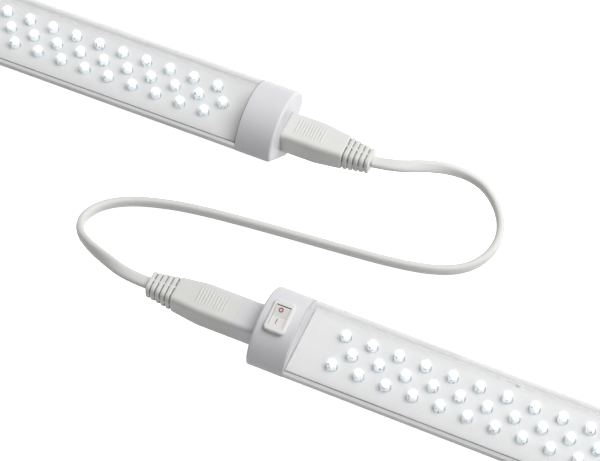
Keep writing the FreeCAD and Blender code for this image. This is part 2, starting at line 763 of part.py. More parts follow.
def lead_pieces():
    """Every piece of the link lead, in the row's frame."""
    return {
        "plug_body": at_outlet(plug_body()),
        "plug_pins": at_outlet(plug_pins()),
        "plug_strain_relief": at_outlet(strain_relief()),
        "connector_body": at_inlet(connector_body()),
        "connector_contacts": at_inlet(connector_contacts()),
        "connector_strain_relief": at_inlet(strain_relief()),
        "link_cord": route_tube(CORD_ROUTE, CORD_RADIUS, "cord"),
    }


def main():
    os.makedirs("parts", exist_ok=True)
    pieces = lead_pieces()
    for name, shape in tube_pieces().items():
        for tube, place in TUBE_PLACES.items():
            pieces[name + "_" + tube] = shape.translated(place)
    for name, shape in pieces.items():
        if not shape.isValid():
            print("not valid:", name)
        shape.exportStep("parts/" + name + ".step")
    print(len(pieces), "pieces")


main()
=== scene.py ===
import math

import bmesh
import bpy
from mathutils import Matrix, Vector
from mathutils.bvhtree import BVHTree


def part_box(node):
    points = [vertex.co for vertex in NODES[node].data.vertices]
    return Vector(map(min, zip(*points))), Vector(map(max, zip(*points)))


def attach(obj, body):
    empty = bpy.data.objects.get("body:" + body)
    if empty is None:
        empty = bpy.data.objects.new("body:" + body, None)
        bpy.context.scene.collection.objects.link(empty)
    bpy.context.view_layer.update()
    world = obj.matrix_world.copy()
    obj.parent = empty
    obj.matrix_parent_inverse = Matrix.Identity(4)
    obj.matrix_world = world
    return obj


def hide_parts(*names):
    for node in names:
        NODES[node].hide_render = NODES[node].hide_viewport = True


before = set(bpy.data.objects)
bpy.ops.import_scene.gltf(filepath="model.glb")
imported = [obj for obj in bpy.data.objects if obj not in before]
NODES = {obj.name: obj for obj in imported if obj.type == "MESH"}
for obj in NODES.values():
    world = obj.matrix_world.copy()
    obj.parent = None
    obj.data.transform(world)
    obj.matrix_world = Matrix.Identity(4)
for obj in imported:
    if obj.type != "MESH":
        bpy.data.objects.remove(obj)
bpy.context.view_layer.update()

MM = 0.001
TUBES = ("a", "b")
TUBE_SPACING = 97.5 * MM
RANGE_SOCKETS = ("From Min", "From Max", "To Min", "To Max")

# The camera stands to the front right of the pair, high above it, with a long lens
CAMERA_AZIMUTH = 23.8
CAMERA_ELEVATION = 56.5
CAMERA_DISTANCE = 881 * MM
CAMERA_LENS = 122.8
CAMERA_TARGET = Vector((18.7, -2.65, 29.5)) * MM

# The cord: a flat two-core flex, on the CAD solid's route but for a few points near the plug,
# which are up to 2 mm from it. It leaves each strain relief lying flat, and turns on edge
# within its first stretch.
CORD_WIDTH = 5.6 * MM
CORD_THICKNESS = 3.6 * MM
CORD_TWIST_LENGTH = 50 * MM
CORD_SECTION_POINTS = 28
CORD_SECTION_POWER = 2.6
CORD_ROUTE = [
    (0.03115, 0.04875, 0.0215),
    (0.042, 0.0506, 0.0214),
    (0.054, 0.0586, 0.0188),
    (0.0655, 0.0642, 0.0148),
    (0.0775, 0.0654, 0.0106),
    (0.087, 0.06, 0.0073),
    (0.0938, 0.0503, 0.0048),
    (0.0948, 0.0388, 0.0033),
    (0.0898, 0.0276, 0.0029),
    (0.0795, 0.0198, 0.0029),
    (0.061, 0.0149, 0.0029),
    (0.03, 0.0117, 0.0029),
    (-0.005, 0.0087, 0.0029),
    (-0.038, 0.0049, 0.0029),
    (-0.056, 0.0005, 0.0029),
    (-0.0674, -0.0043, 0.0033),
    (-0.0756, -0.0116, 0.0046),
    (-0.0789, -0.0216, 0.0074),
    (-0.0752, -0.0314, 0.0111),
    (-0.066, -0.0382, 0.015),
    (-0.0545, -0.0436, 0.0186),
    (-0.0425, -0.0486, 0.0214),
    (-0.03115, -0.04875, 0.0215),
]

# The grips at the lead's two ends, along their own x from the seam towards the cord
CONNECTOR_Z = 21.5 * MM
GRIP_WIDTH = 15.6 * MM
GRIP_HEIGHT = 13.0 * MM
GRIP_CORNER = 2.2 * MM
GRIP_STRAIGHT = 16.5 * MM
GRIP_LENGTH = 29.1 * MM
GRIP_END_WIDTH = 13.0 * MM
GRIP_END_HEIGHT = 11.2 * MM
GRIP_END_ROUND = 0.7 * MM
SHOULDER = 2.2 * MM
RIB_COUNT = 10
RIB_START = 5.0 * MM
RIB_PITCH = 1.39 * MM
RIB_WIDTH = 0.85 * MM
RIB_HALF_LENGTH = 3.55 * MM
RIB_HEIGHT = 0.35 * MM
RIB_END_REACH = 0.25 * MM
RIB_END_SOFT = 0.4 * MM
NOSE_CORNER = 1.0 * MM
PLUG_NOSE = (7.8 * MM, 10.6 * MM, 8.2 * MM)
CONNECTOR_NOSE = (10.2 * MM, 10.9 * MM, 8.5 * MM)
SOCKET_RADIUS = 1.45 * MM
SOCKET_Y = 2.9 * MM
SOCKET_END = 4.0 * MM

# The strain reliefs: five fins with narrow slots between, bridged at the middle of each face
FIN_COUNT = 5
FIN_PITCH = 2.45 * MM
FIN_SLOT = 0.5 * MM
FIN_ROUND = 0.5 * MM
FIN_FIRST = (12.6 * MM, 10.8 * MM)
FIN_LAST = (10.2 * MM, 9.0 * MM)
FIN_CORNER = 2.4 * MM
SLOT_DEPTH = 1.5 * MM
BRIDGE_DEPTH = 0.12 * MM
BRIDGE_HALF = 0.5 * MM
BRIDGE_SOFT = 0.25 * MM
RELIEF_LENGTH = 12.45 * MM

# Studio: how bright the surroundings are behind, in front and below, and the self-lit floor
BRIGHT_WAY = (0.3, 0.3, 0.9)
BRIGHT_SKY = 0.76
DARK_SKY = 0.08
SWEEP = 0.42
SKY_RANGE = (-0.1, 0.95)
HORIZON = 0.03
FLOOR_HALF = 6.0
FLOOR_GLOW = 0.88

# Colours shared by several pieces
CAP_WHITE = (0.585, 0.578, 0.600)
LEAD_WHITE = (0.600, 0.598, 0.580)

# The lens: its film by how far it faces away, its painted darker outline, and the painted glow and
# painted shadow line along its edges
LENS_TONE = (0.54, 0.54, 0.545)
LENS_EDGE_TONE = (0.42, 0.42, 0.425)
LENS_FILM = (0.02, 0.92)
LENS_FILM_FACING = (0.3, 0.8)
LENS_RIM_TOP = 25.8 * MM
LENS_RIM_GLOW = 0.32
LENS_SHADOW_BAND = (24.8 * MM, 25.6 * MM)
LENS_SHADOW_COLOUR = (0.05, 0.045, 0.035)
LENS_SHADOW_STRENGTH = 0.6
LENS_WALL_HALF = 18.25 * MM
LENS_BLUR = 0.1 * MM

# LEDs, and how lit their insides are. The lit edge's dips are turned to suit the side that
# the camera is on; they are fixed to the LED, and don't follow the camera.
LED_PITCH = 12.0 * MM
LED_COLUMNS = 20
LED_ROW_Y = 7.55 * MM
LED_FIRST_X = 34.3 * MM
LED_RADIUS = 2.5 * MM
LED_TIP_Z = 29.5 * MM
LED_SEGMENTS = 24
LED_FLANGE_RADIUS = 2.9 * MM
LED_FLANGE_HEIGHT = 1.0 * MM
LED_CORE_RADIUS = 2.0 * MM
LED_CORE_TOP = 0.45 * MM
LIT_EDGE = 2.0 * MM
LIT_SCALLOP = 0.75 * MM
LIT_LEAN = 0.5 * MM
LIT_SCALLOP_TURN = -66.2
LIT_LEAN_TURN = 20
LIT_SOFT = 1.2 * MM

# Switch marks
MARK_HEIGHT = 0.05 * MM
MARK_SPACING = 2.45 * MM
MARK_SHIFT = -0.5 * MM
RING_RADII = (0.56 * MM, 1.05 * MM)
BAR_SIZE = (0.36 * MM, 2.4 * MM)


def link(name, mesh):
    """A new object in the scene."""
    thing = bpy.data.objects.new(name, mesh)
    bpy.context.scene.collection.objects.link(thing)
    return thing


def smooth_step(value):
    """0 up to 0, 1 from 1, and a smooth rise between."""
    value = min(max(value, 0.0), 1.0)
    return value * value * (3 - 2 * value)


# Camera, floor and lights


def direction(azimuth, elevation):
    """The unit vector from the object towards a viewpoint."""
    a = math.radians(azimuth)
    e = math.radians(elevation)
    return Vector((math.sin(a) * math.cos(e), -math.cos(a) * math.cos(e), math.sin(e)))


def make_camera():
    data = bpy.data.cameras.new("camera")
    data.lens = CAMERA_LENS
    data.sensor_width = 36.0
    camera = link("camera", data)
    back = direction(CAMERA_AZIMUTH, CAMERA_ELEVATION)
    camera.location = CAMERA_TARGET + back * CAMERA_DISTANCE
    camera.rotation_mode = "QUATERNION"
    camera.rotation_quaternion = (-back).to_track_quat("-Z", "Y")
    bpy.context.scene.camera = camera


def make_floor(material):
    mesh = bpy.data.meshes.new("floor")
    half = FLOOR_HALF
    corners = [(-half, -half, 0), (half, -half, 0), (half, half, 0), (-half, half, 0)]
    mesh.from_pydata(corners, [], [(0, 1, 2, 3)])
    mesh.materials.append(material)
    floor = link("floor", mesh)
    floor.visible_diffuse = False


def area_light(name, azimuth, elevation, distance, size, power):
    """A soft square light that gloss doesn't show."""
    data = bpy.data.lights.new(name, "AREA")
    data.shape = "SQUARE"
    data.size = size
    data.energy = power
    light = link(name, data)
    way = direction(azimuth, elevation)
    light.location = way * distance
    light.rotation_mode = "QUATERNION"
    light.rotation_quaternion = way.to_track_quat("Z", "Y")
    light.visible_glossy = False


def make_world():
    """A soft studio: bright behind and above the object, dark in front, a pale sweep below."""
    world = bpy.data.worlds.new("studio")
    world.use_nodes = True
    nodes = world.node_tree.nodes
    links = world.node_tree.links
    place = nodes.new("ShaderNodeTexCoord").outputs["Generated"]
    tilt = nodes.new("ShaderNodeVectorMath")
    tilt.operation = "DOT_PRODUCT"
    tilt.inputs[1].default_value = BRIGHT_WAY
    links.new(place, tilt.inputs[0])
    upper = nodes.new("ShaderNodeMapRange")
    upper.interpolation_type = "SMOOTHSTEP"
    links.new(tilt.outputs["Value"], upper.inputs["Value"])
    for socket, value in zip(RANGE_SOCKETS, (*SKY_RANGE, DARK_SKY, BRIGHT_SKY)):
        upper.inputs[socket].default_value = value
    split = nodes.new("ShaderNodeSeparateXYZ")
    links.new(place, split.inputs["Vector"])
    whole = nodes.new("ShaderNodeMapRange")
    links.new(split.outputs["Z"], whole.inputs["Value"])
    whole.inputs["From Min"].default_value = -HORIZON
    whole.inputs["From Max"].default_value = HORIZON
    whole.inputs["To Min"].default_value = SWEEP
    links.new(upper.outputs["Result"], whole.inputs["To Max"])
    background = nodes["Background"]
    background.inputs["Color"].default_value = (1.0, 1.0, 1.0, 1.0)
    links.new(whole.outputs["Result"], background.inputs["Strength"])
    bpy.context.scene.world = world


# Materials


class Finish:
    """A material under construction: node and link shorthands round one Principled shader."""

    def __init__(self, name, colour, roughness, **sockets):
        self.material = bpy.data.materials.new(name)
        self.material.use_nodes = True
        tree = self.material.node_tree
        self.nodes = tree.nodes
        self.links = tree.links
        self.shader = tree.nodes["Principled BSDF"]
        self.set("Base Color", (*colour, 1.0))
        self.set("Roughness", roughness)
        for socket, value in sockets.items():
            self.set(socket.replace("_", " "), value)
        place = self.nodes.new("ShaderNodeTexCoord")
        self.place = place.outputs["Object"]

    def set(self, socket, value):
        self.shader.inputs[socket].default_value = value

    def join(self, output, socket):
        self.links.new(output, self.shader.inputs[socket])

    def noise(self, size, detail=3.0, stretch=None):
        """Noise between 0 and 1 with features of the given size."""
        node = self.nodes.new("ShaderNodeTexNoise")
        node.inputs["Scale"].default_value = 1.0 / size
        node.inputs["Detail"].default_value = detail
        place = self.place
        if stretch:
            mapping = self.nodes.new("ShaderNodeMapping")
            mapping.inputs["Scale"].default_value = stretch
            self.links.new(place, mapping.inputs["Vector"])
            place = mapping.outputs["Vector"]
        self.links.new(place, node.inputs["Vector"])
        return node.outputs["Fac"]

    def cells(self, size):
        """Random values from 0 to 1, one for each small facet."""
        node = self.nodes.new("ShaderNodeTexVoronoi")
        node.inputs["Scale"].default_value = 1.0 / size
        self.links.new(self.place, node.inputs["Vector"])
        split = self.nodes.new("ShaderNodeSeparateColor")
        self.links.new(node.outputs["Color"], split.inputs["Color"])
        return split.outputs["Red"]

    def height(self):
        """The height above the floor, in metres."""
        split = self.nodes.new("ShaderNodeSeparateXYZ")
        self.links.new(self.place, split.inputs["Vector"])
        return split.outputs["Z"]

    def across(self):
        """The distance from the middle of the nearest tube, across it, in metres."""
        split = self.nodes.new("ShaderNodeSeparateXYZ")
        self.links.new(self.place, split.inputs["Vector"])
        shifted = self.nodes.new("ShaderNodeMath")
        shifted.operation = "SUBTRACT"
        self.links.new(split.outputs["Y"], shifted.inputs[0])
        shifted.inputs[1].default_value = TUBE_SPACING / 2
        local = self.nodes.new("ShaderNodeMath")
        local.operation = "WRAP"
        self.links.new(shifted.outputs["Value"], local.inputs[0])
        local.inputs[1].default_value = TUBE_SPACING / 2
        local.inputs[2].default_value = -TUBE_SPACING / 2
        size = self.nodes.new("ShaderNodeMath")
        size.operation = "ABSOLUTE"
        self.links.new(local.outputs["Value"], size.inputs[0])
        return size.outputs["Value"]

    def facing(self, blend=0.5):
        """0 where the surface faces the eye, 1 at its outline."""
        node = self.nodes.new("ShaderNodeLayerWeight")
        node.inputs["Blend"].default_value = blend
        return node.outputs["Facing"]

    def ramp(self, factor, low, high, start=0.0, end=1.0, smooth=False):
        """A value that runs from low to high as factor runs from start to end."""
        node = self.nodes.new("ShaderNodeMapRange")
        if smooth:
            node.interpolation_type = "SMOOTHSTEP"
        self.links.new(factor, node.inputs["Value"])
        for socket, value in zip(RANGE_SOCKETS, (start, end, low, high)):
            node.inputs[socket].default_value = value
        return node.outputs["Result"]

    def pick(self, operation, first, second):
        """The larger (MAXIMUM) or smaller (MINIMUM) of two values."""
        node = self.nodes.new("ShaderNodeMath")
        node.operation = operation
        self.links.new(first, node.inputs[0])
        self.links.new(second, node.inputs[1])
        return node.outputs["Value"]

    def mix(self, factor, first, second):
        """The colour between two colours, each given as numbers or as a link."""
        node = self.nodes.new("ShaderNodeMix")
        node.data_type = "RGBA"
        self.links.new(factor, node.inputs["Factor"])
        for socket, value in ((node.inputs[6], first), (node.inputs[7], second)):
            if isinstance(value, tuple):
                socket.default_value = (*value, 1.0)
            else:
                self.links.new(value, socket)
        return node.outputs[2]

    def bump(self, layers):
        """Bumps on the surface: pairs of a height pattern and its depth in metres."""
        normal = None
        for pattern, depth in layers:
            node = self.nodes.new("ShaderNodeBump")
            node.inputs["Distance"].default_value = depth
            self.links.new(pattern, node.inputs["Height"])
            if normal:
                self.links.new(normal, node.inputs["Normal"])
            normal = node.outputs["Normal"]
        self.join(normal, "Normal")


def shade(colour, factor):
    return tuple(value * factor for value in colour)


def moulded(name, colour, roughness=0.42, grain=0.28 * MM, grain_depth=0.008 * MM, **sockets):
    """Moulded plastic: faint mottling, a fine moulded grain, slow waves and uneven gloss."""
    finish = Finish(name, colour, roughness, **sockets)
    mottle = finish.noise(9 * MM)
    speck = finish.noise(0.9 * MM, detail=5.0)
    tone = finish.mix(mottle, shade(colour, 0.965), shade(colour, 1.03))
    tone = finish.mix(finish.ramp(speck, 0.0, 0.35, 0.55, 0.8), tone, shade(colour, 0.93))
    finish.join(tone, "Base Color")
    finish.join(finish.ramp(speck, roughness - 0.07, roughness + 0.09, 0.3, 0.7), "Roughness")
    waves = finish.noise(6 * MM, detail=1.0)
    finish.bump([(waves, 0.02 * MM), (finish.noise(grain), grain_depth)])
    return finish


def metal(name, colour, roughness, brushed):
    """Drawn or plated metal: fine streaks along x, darker where it has dulled."""
    finish = Finish(name, colour, roughness, Metallic=1.0)
    streaks = finish.noise(0.2 * MM, detail=4.0, stretch=brushed)
    dull = finish.noise(1.6 * MM)
    finish.join(finish.mix(dull, shade(colour, 0.75), colour), "Base Color")
    finish.join(finish.ramp(streaks, roughness - 0.1, roughness + 0.15), "Roughness")
    finish.bump([(streaks, 0.004 * MM)])
    return finish.material


def clear_lens():
    """Clear extruded plastic: almost nothing seen straight on, a grey-white film at its edges painted
    darker at its outline, a painted glow on its foot and outer rim, and a painted shadow line on its
    inner wall.
    """
    finish = Finish("lens_clear", LENS_TONE, 0.08, IOR=1.49, Specular_IOR_Level=0.25)
    facing = finish.facing(0.5)
    # Painted shade: the film's colour darkens towards the outline.
    edge = finish.ramp(facing, 0.0, 1.0, 0.75, 1.0)
    tone = finish.mix(edge, LENS_TONE, LENS_EDGE_TONE)
    lines = finish.noise(1.1 * MM, detail=2.0, stretch=(0.02, 1.0, 1.0))
    film = finish.ramp(facing, *LENS_FILM, *LENS_FILM_FACING, smooth=True)
    height = finish.height()
    wall = (LENS_WALL_HALF - LENS_BLUR, LENS_WALL_HALF + LENS_BLUR)
    outer = finish.ramp(finish.across(), 0.0, 1.0, *wall)
    inner = finish.ramp(outer, 1.0, 0.0)
    # The foot, and the outer wall up to the rim top, are made opaque and given a painted glow.
    foot = finish.ramp(height, 1.0, 0.0, LENS_SHADOW_BAND[0] - LENS_BLUR, LENS_SHADOW_BAND[0])
    rim = finish.ramp(height, 1.0, 0.0, LENS_RIM_TOP - LENS_BLUR, LENS_RIM_TOP)
    rim = finish.pick("MAXIMUM", finish.pick("MINIMUM", rim, outer), foot)
    # Painted shadow: a dark band on the inner wall, just above the foot, where the gap beside the
    # reflector would lie in shade.
    below = finish.ramp(height, LENS_SHADOW_STRENGTH, 0.0, LENS_SHADOW_BAND[1] - LENS_BLUR, LENS_SHADOW_BAND[1])
    seam = finish.pick("MINIMUM", finish.pick("MINIMUM", below, inner), finish.ramp(foot, 1.0, 0.0))
    finish.join(finish.mix(seam, tone, LENS_SHADOW_COLOUR), "Base Color")
    finish.join(finish.pick("MAXIMUM", film, finish.pick("MAXIMUM", rim, seam)), "Alpha")
    # Painted glow: the rim emits light though the lens is no lamp.
    finish.set("Emission Color", (1.0, 1.0, 1.0, 1.0))
    finish.join(finish.ramp(rim, 0.0, LENS_RIM_GLOW), "Emission Strength")
    finish.join(finish.ramp(lines, 0.05, 0.13), "Roughness")
    finish.bump([(lines, 0.006 * MM)])
    return finish.material


def led_dome():
    """The LED's clear epoxy: clear straight on, a thin pale rim at its outline."""
    finish = Finish("led_dome", (0.86, 0.9, 0.92), 0.06, IOR=1.54, Emission_Strength=0.55)
    finish.set("Emission Color", (0.95, 0.99, 1.0, 1.0))
    facing = finish.facing(0.5)
    finish.join(finish.ramp(facing, 0.03, 0.35, 0.35, 1.0, smooth=True), "Alpha")
    finish.bump([(finish.noise(1.3 * MM, detail=1.0), 0.05 * MM)])
    return finish.material


def led_core():
    """The LED's inside: the lit cup above, and below it bluish facets with a few painted glints and some
    dark spots.
    """
    finish = Finish("led_core", (0.8, 0.86, 0.9), 0.3)
    facets = finish.cells(0.75 * MM)
    body = finish.mix(facets, (0.6, 0.66, 0.69), (0.86, 0.92, 0.95))
    # Painted glints: the brightest few facets are white, and glow with the emission below.
    body = finish.mix(finish.ramp(facets, 0.0, 1.0, 0.9, 0.93), body, (1.0, 1.0, 1.0))
    body = finish.mix(finish.ramp(facets, 1.0, 0.0, 0.08, 0.12), body, (0.3, 0.33, 0.35))
    lit = finish.nodes.new("ShaderNodeAttribute")
    lit.attribute_name = "lit"
    finish.join(finish.mix(lit.outputs["Fac"], body, (0.93, 0.98, 1.0)), "Base Color")
    finish.join(finish.mix(lit.outputs["Fac"], body, (0.95, 0.99, 1.0)), "Emission Color")
    finish.join(finish.ramp(lit.outputs["Fac"], 0.42, 1.0), "Emission Strength")
    finish.bump([(facets, 0.08 * MM)])
    return finish.material


def reflector_finish():
    """Satin white sheet, a little glossier than the mouldings."""
    return moulded("reflector_white", (0.63, 0.63, 0.632), 0.3).material


def circuit_board():
    """Solder mask over copper tracks, with paler pads."""
    finish = Finish("circuit_board", (0.05, 0.24, 0.12), 0.35, Coat_Weight=0.3)
    lines = finish.noise(1.4 * MM, detail=0.0, stretch=(0.25, 1.0, 1.0))
    tracks = finish.ramp(lines, 0.0, 1.0, 0.49, 0.53)
    pads = finish.ramp(finish.cells(3.1 * MM), 0.0, 1.0, 0.86, 0.88)
    mask = finish.mix(tracks, (0.03, 0.17, 0.08), (0.08, 0.3, 0.16))
    finish.join(finish.mix(pads, mask, (0.7, 0.68, 0.62)), "Base Color")
    finish.bump([(tracks, 0.035 * MM), (finish.noise(0.2 * MM), 0.004 * MM)])
    return finish.material


def board_components():
    """Sleeved capacitors, taped coils and grey resistor bodies, told apart by their place."""
    finish = Finish("components", (0.1, 0.1, 0.11), 0.4)
    bands = finish.ramp(finish.cells(11 * MM), 0.0, 1.0, 0.45, 0.5)
    tone = finish.mix(bands, (0.05, 0.055, 0.07), (0.42, 0.3, 0.1))
    wear = finish.noise(0.7 * MM, detail=4.0)
    finish.join(finish.mix(finish.ramp(wear, 0.0, 0.3), tone, (0.5, 0.48, 0.44)), "Base Color")
    finish.join(finish.ramp(wear, 0.28, 0.6), "Roughness")
    finish.bump([(wear, 0.02 * MM)])
    return finish.material


def red_print():
    """The switch marks' printing ink."""
    colour = (0.36, 0.035, 0.025)
    finish = Finish("mark_red", colour, 0.5)
    patchy = finish.noise(0.25 * MM, detail=4.0)
    finish.join(finish.mix(patchy, shade(colour, 0.8), (0.42, 0.07, 0.05)), "Base Color")
    finish.bump([(patchy, 0.004 * MM)])
    return finish.material


def floor_finish():
    """Plain white paper that is partly self-lit, so that shadows on it stay faint."""
    finish = Finish("floor_white", (0.97, 0.97, 0.97), 0.9, Specular_IOR_Level=0.1)
    paper = finish.noise(4 * MM)
    finish.join(finish.mix(paper, (0.965, 0.965, 0.965), (0.975, 0.975, 0.975)), "Base Color")
    finish.set("Emission Color", (1.0, 1.0, 1.0, 1.0))
    finish.set("Emission Strength", FLOOR_GLOW)
    return finish.material


def make_materials():
    """Every material, by the slot of the record that it gives a finish to, and the extra ones."""
    return {
        "housing_white": moulded("housing_white", (0.60, 0.60, 0.605), 0.35, grain=0.5 * MM).material,
        "lens_clear": clear_lens(),
        "reflector_white": reflector_finish(),
        "led_dome": led_dome(),
        "led_core": led_core(),
        "circuit_board": circuit_board(),
        "components": board_components(),
        "wire_insulation": moulded("wire_insulation", (0.35, 0.12, 0.05), 0.45).material,
        "screw_steel": metal("screw_steel", (0.62, 0.62, 0.63), 0.32, (1.0, 1.0, 1.0)),
        "cap_white": moulded("cap_white", CAP_WHITE, 0.44).material,
        "collar_white": moulded("collar_white", (0.585, 0.588, 0.595), 0.38).material,
        "socket_white": moulded("socket_white", (0.55, 0.55, 0.56), 0.45).material,
        "contact_brass": metal("contact_brass", (0.72, 0.52, 0.22), 0.25, (0.1, 1.0, 1.0)),
        "switch_white": moulded("switch_white", (0.63, 0.627, 0.615), 0.33, grain=0.2 * MM).material,
        "clip_white": moulded("clip_white", (0.60, 0.60, 0.605), 0.4).material,
        "lead_pvc": moulded("lead_pvc", LEAD_WHITE, 0.48, grain=0.35 * MM).material,
        "cord_pvc": moulded("cord_pvc", LEAD_WHITE, 0.45, grain=0.4 * MM).material,
        "mark_red": red_print(),
    }


def finish_nodes(materials):
    """Gives every CAD node in view its slot's material, and stops the lenses casting shadows."""
    for tube in TUBES:
        NODES["lens_cover_" + tube].visible_shadow = False
    for node in NODES.values():
        for slot in node.material_slots:
            name = slot.material.name
            if name in materials:
                slot.material = materials[name]


# Mesh shorthands


def mesh_of(name, parts):
    """One mesh from lists of (points, faces), with its faces turned outwards."""
    points = []
    faces = []
    for part_points, part_faces in parts:
        start = len(points)
        points.extend(part_points)
        faces.extend([tuple(start + index for index in face) for face in part_faces])
    mesh = bpy.data.meshes.new(name)
    mesh.from_pydata(points, [], faces)
    work = bmesh.new()
    work.from_mesh(mesh)
    bmesh.ops.recalc_face_normals(work, faces=work.faces)
    work.to_mesh(mesh)
    work.free()
    return mesh


def make_piece(name, parts, material, sharp=40.0):
    """One object from lists of (points, faces), shaded smooth apart from its sharp edges."""
    mesh = mesh_of(name, parts)
    mesh.materials.append(material)
    mesh.shade_smooth()
    mesh.set_sharp_from_angle(angle=math.radians(sharp))
    piece = link(name, mesh)
    return piece


def loft(rings):
    """The points and faces of a closed skin through rings of the same number of points."""
    count = len(rings[0])
    points = [point for ring in rings for point in ring]
    faces = []
    for row in range(len(rings) - 1):
        near = row * count
        far = near + count
        for i in range(count):
            j = (i + 1) % count
            faces.append((near + i, near + j, far + j, far + i))
    faces.append(tuple(reversed(range(count))))
    faces.append(tuple(range(len(points) - count, len(points))))
    return points, faces


def lathe(profile, segments, centre):
    """A closed body turned about the upright line through centre, from (radius, z) points."""
    points = []
    faces = []
    rings = []
    for radius, z in profile:
        if radius == 0:
            rings.append([len(points)])
            points.append(centre + Vector((0, 0, z)))
            continue
        rings.append(list(range(len(points), len(points) + segments)))
        for i in range(segments):
            turn = 2 * math.pi * i / segments
            points.append(centre + Vector((radius * math.cos(turn), radius * math.sin(turn), z)))
    for below, above in zip(rings, rings[1:]):
        for i in range(segments):
            j = (i + 1) % segments
            corners = [below[i % len(below)], below[j % len(below)]]
            corners += [above[j % len(above)], above[i % len(above)]]
            face = tuple(dict.fromkeys(corners))
            if len(face) > 2:
                faces.append(face)
    return points, faces


# Where the points lie along each flat side of a rounded ring: closer together at its middle,
# where a strain relief has its bridges, and towards its ends
FLAT_SHARES = (
    -1, -0.86, -0.79, -0.74, -0.5, -0.3, -0.2, -0.12,
    0, 0.12, 0.2, 0.3, 0.5, 0.74, 0.79, 0.86,
)
ARC_STEPS = 7


def rounded_ring(width, height, corner):
    """Points (y, z) round a rounded rectangle, anticlockwise, always the same number."""
    corner = min(corner, width / 2 - 0.05 * MM, height / 2 - 0.05 * MM)
    half_y = width / 2 - corner
    half_z = height / 2 - corner
    points = []
    sides = [
        (half_y, -half_z, (0, -1), half_y),
        (half_y, half_z, (1, 0), half_z),
        (-half_y, half_z, (0, 1), half_y),
        (-half_y, -half_z, (-1, 0), half_z),
    ]
    for corner_y, corner_z, out, half in sides:
        along = Vector((-out[1], out[0]))
        out = Vector(out)
        middle = out * Vector((corner_y, corner_z)).dot(out)
        for share in FLAT_SHARES:
            points.append(middle + along * half * share + out * corner)
        centre = Vector((corner_y, corner_z))
        for step in range(ARC_STEPS):
            turn = math.pi / 2 * step / ARC_STEPS
            points.append(centre + (out * math.cos(turn) + along * math.sin(turn)) * corner)
    return points


# The link lead


class LeadEnd:
    """Where one end of the lead is: its seam point, and the way that the cord leaves."""

    def __init__(self, seam, way):
        self.seam = seam
        self.way = way

    def place(self, x, flat):
        """A point of the end's own x, and its section's (y, z), in the row frame."""
        return self.seam + Vector((self.way * x, self.way * flat[0], flat[1]))

    def ring(self, x, flats):
        return [self.place(x, flat) for flat in flats]


def lead_ends():
    """The plug at tube a's outlet face, and the connector at the mouth of tube b's collar."""
    outlet_low, outlet_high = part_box("outlet_cap_a")
    collar_low, collar_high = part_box("inlet_collar_b")
    plug = Vector((outlet_high.x, (outlet_low.y + outlet_high.y) / 2, CONNECTOR_Z))
    connector = Vector((collar_low.x, (collar_low.y + collar_high.y) / 2, CONNECTOR_Z))
    return LeadEnd(plug, 1), LeadEnd(connector, -1)


def grip_size(x):
    """Width and height of the grip: straight, a soft shoulder, then an even taper."""
    run = GRIP_LENGTH - GRIP_STRAIGHT
    past = x - (GRIP_STRAIGHT - SHOULDER)
    if past <= 0:
        share = 0.0
    elif past < 2 * SHOULDER:
        share = past ** 2 / (4 * SHOULDER * run)
    else:
        share = (x - GRIP_STRAIGHT) / run
    width = GRIP_WIDTH + (GRIP_END_WIDTH - GRIP_WIDTH) * share
    height = GRIP_HEIGHT + (GRIP_END_HEIGHT - GRIP_HEIGHT) * share
    return width, height


def rib_rise(x):
    """The height of the ribs at x: rounded ridges with flat ground between."""
    place = (x - RIB_START) / RIB_PITCH
    index = math.floor(place)
    if not 0 <= index < RIB_COUNT:
        return 0.0
    across = (place - index) * RIB_PITCH / RIB_WIDTH
    if across >= 1:
        return 0.0
    return RIB_HEIGHT * math.sin(math.pi * across) ** 0.6


def ribbed(x, flats, height):
    """The section with the ribs raised on its two broad faces."""
    rise = rib_rise(x)
    raised = []
    for flat in flats:
        share = smooth_step((RIB_HALF_LENGTH + RIB_END_REACH - abs(flat.x)) / RIB_END_SOFT)
        on_face = abs(flat.y) > height / 2 - 0.01 * MM
        lift = rise * share if on_face else 0.0
        raised.append(Vector((flat.x, flat.y + math.copysign(lift, flat.y))))
    return raised


def grip_rings(end, nose):
    """The grip's rings from the tip of its nose to the strain relief."""
    nose_length, nose_width, nose_height = nose
    rings = []
    for x, inset in ((-nose_length, 0.4 * MM), (-nose_length + 0.4 * MM, 0.0), (0.0, 0.0)):
        flats = rounded_ring(nose_width - 2 * inset, nose_height - 2 * inset, NOSE_CORNER)
        rings.append(end.ring(x, flats))
    for x, inset in ((0.0, 0.22 * MM), (0.06 * MM, 0.07 * MM), (0.2 * MM, 0.0)):
        flats = rounded_ring(GRIP_WIDTH - 2 * inset, GRIP_HEIGHT - 2 * inset, GRIP_CORNER - inset)
        rings.append(end.ring(x, flats))
    steps_per_rib = 12
    stations = [0.8 * MM, 2.6 * MM]
    stations += [RIB_START + RIB_PITCH * i / steps_per_rib for i in range(-1, RIB_COUNT * steps_per_rib)]
    start = stations[-1] + 0.3 * MM
    taper_steps = 16
    run = GRIP_LENGTH - GRIP_END_ROUND - start
    stations += [start + run * i / taper_steps for i in range(taper_steps + 1)]
    for x in stations:
        width, height = grip_size(x)
        rings.append(end.ring(x, ribbed(x, rounded_ring(width, height, GRIP_CORNER), height)))
    for step in range(1, 6):
        turn = math.pi / 2 * step / 5
        x = GRIP_LENGTH - GRIP_END_ROUND * (1 - math.sin(turn))
        inset = GRIP_END_ROUND * (1 - math.cos(turn))
        width, height = grip_size(x)
        flats = rounded_ring(width - 2 * inset, height - 2 * inset, GRIP_CORNER - inset * 0.5)
        rings.append(end.ring(x, flats))
    return rings


